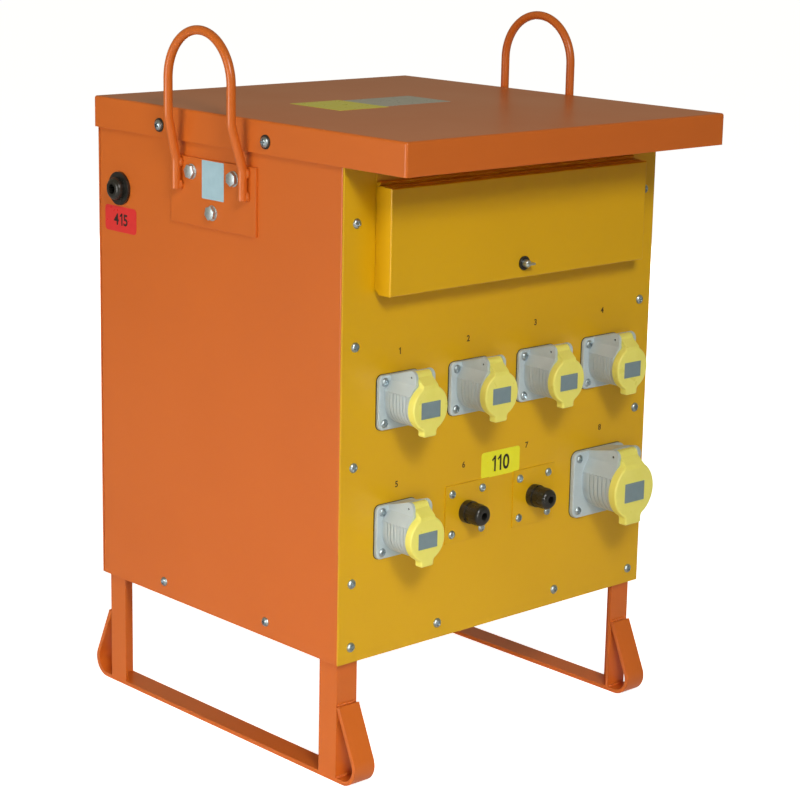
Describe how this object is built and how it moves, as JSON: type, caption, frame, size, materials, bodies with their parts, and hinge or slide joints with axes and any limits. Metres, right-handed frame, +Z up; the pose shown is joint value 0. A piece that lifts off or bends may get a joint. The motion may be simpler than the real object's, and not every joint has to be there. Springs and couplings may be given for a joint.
{
  "type": "portable site power transformer",
  "caption": "Site power transformer in a sheet steel cabinet on a skid stand, with lifting handles, lidded outlets, cable glands and a hinged breaker cover.",
  "frame": {"origin": "centre of the bounding box's underside, on the ground", "axes": "+Z up, -Y out of the front panel, +X to the right seen from the front"},
  "size_m": [0.554, 0.575, 0.8382],
  "materials": {
    "orange_paint": "gloss powder coat",
    "yellow_paint": "gloss powder coat",
    "zinc_steel": "zinc plated",
    "black_nylon": "satin moulded",
    "grey_housing": "semi gloss moulded",
    "contact_carrier": "moulded",
    "yellow_lid": "semi gloss moulded",
    "breaker_plastic": "moulded"
  },
  "bodies": {
    "cabinet": {"left_skid": "orange_paint", "right_skid": "orange_paint", "front_left_leg": "orange_paint", "front_right_leg": "orange_paint", "rear_left_leg": "orange_paint", "rear_right_leg": "orange_paint", "base_frame": "orange_paint", "base_plate": "orange_paint", "left_side_panel": "orange_paint", "right_side_panel": "orange_paint", "rear_panel": "orange_paint", "lid": "orange_paint", "left_handle_plate": "orange_paint", "right_handle_plate": "orange_paint", "left_handle": "orange_paint", "right_handle": "orange_paint", "front_panel": "yellow_paint", "gland_plate_6": "yellow_paint", "gland_plate_7": "yellow_paint", "hinge_fixed_leaf": "yellow_paint", "breaker_rail": "zinc_steel", "gland_6": "black_nylon", "gland_7": "black_nylon", "inlet_gland": "black_nylon", "socket_1": "grey_housing", "socket_2": "grey_housing", "socket_3": "grey_housing", "socket_4": "grey_housing", "socket_5": "grey_housing", "socket_8": "grey_housing", "socket_insert_1": "contact_carrier", "socket_insert_2": "contact_carrier", "socket_insert_3": "contact_carrier", "socket_insert_4": "contact_carrier", "socket_insert_5": "contact_carrier", "socket_insert_8": "contact_carrier", "breaker_bank": "breaker_plastic"},
    "breaker_cover": {"breaker_cover": "yellow_paint", "hinge_moving_leaf": "yellow_paint", "cover_washer": "black_nylon", "wing_screw": "zinc_steel"},
    "socket_lid_1": {"socket_lid_1": "yellow_lid"},
    "socket_lid_2": {"socket_lid_2": "yellow_lid"},
    "socket_lid_3": {"socket_lid_3": "yellow_lid"},
    "socket_lid_4": {"socket_lid_4": "yellow_lid"},
    "socket_lid_5": {"socket_lid_5": "yellow_lid"},
    "socket_lid_8": {"socket_lid_8": "yellow_lid"}
  },
  "joints": [
    {"name": "breaker_cover_hinge", "type": "hinge", "parent": "cabinet", "child": "breaker_cover", "pos_m": [0, -0.1905, 0.6818], "axis": [-1, 0, 0], "range_deg": [0, 65]},
    {"name": "socket_lid_1_hinge", "type": "hinge", "parent": "cabinet", "child": "socket_lid_1", "pos_m": [-0.1685, -0.226, 0.4715], "axis": [-1, 0, 0], "range_deg": [0, 110], "stiffness_Nm_per_rad": 0.06, "springref_deg": -28.65},
    {"name": "socket_lid_2_hinge", "type": "hinge", "parent": "cabinet", "child": "socket_lid_2", "pos_m": [-0.0585, -0.226, 0.4715], "axis": [-1, 0, 0], "range_deg": [0, 110], "stiffness_Nm_per_rad": 0.06, "springref_deg": -28.65},
    {"name": "socket_lid_3_hinge", "type": "hinge", "parent": "cabinet", "child": "socket_lid_3", "pos_m": [0.0515, -0.226, 0.4715], "axis": [-1, 0, 0], "range_deg": [0, 110], "stiffness_Nm_per_rad": 0.06, "springref_deg": -28.65},
    {"name": "socket_lid_4_hinge", "type": "hinge", "parent": "cabinet", "child": "socket_lid_4", "pos_m": [0.1615, -0.226, 0.4715], "axis": [-1, 0, 0], "range_deg": [0, 110], "stiffness_Nm_per_rad": 0.06, "springref_deg": -28.65},
    {"name": "socket_lid_5_hinge", "type": "hinge", "parent": "cabinet", "child": "socket_lid_5", "pos_m": [-0.1685, -0.226, 0.3225], "axis": [-1, 0, 0], "range_deg": [0, 110], "stiffness_Nm_per_rad": 0.06, "springref_deg": -28.65},
    {"name": "socket_lid_8_hinge", "type": "hinge", "parent": "cabinet", "child": "socket_lid_8", "pos_m": [0.1653, -0.233, 0.329], "axis": [-1, 0, 0], "range_deg": [0, 110], "stiffness_Nm_per_rad": 0.06, "springref_deg": -28.65}
  ]
}
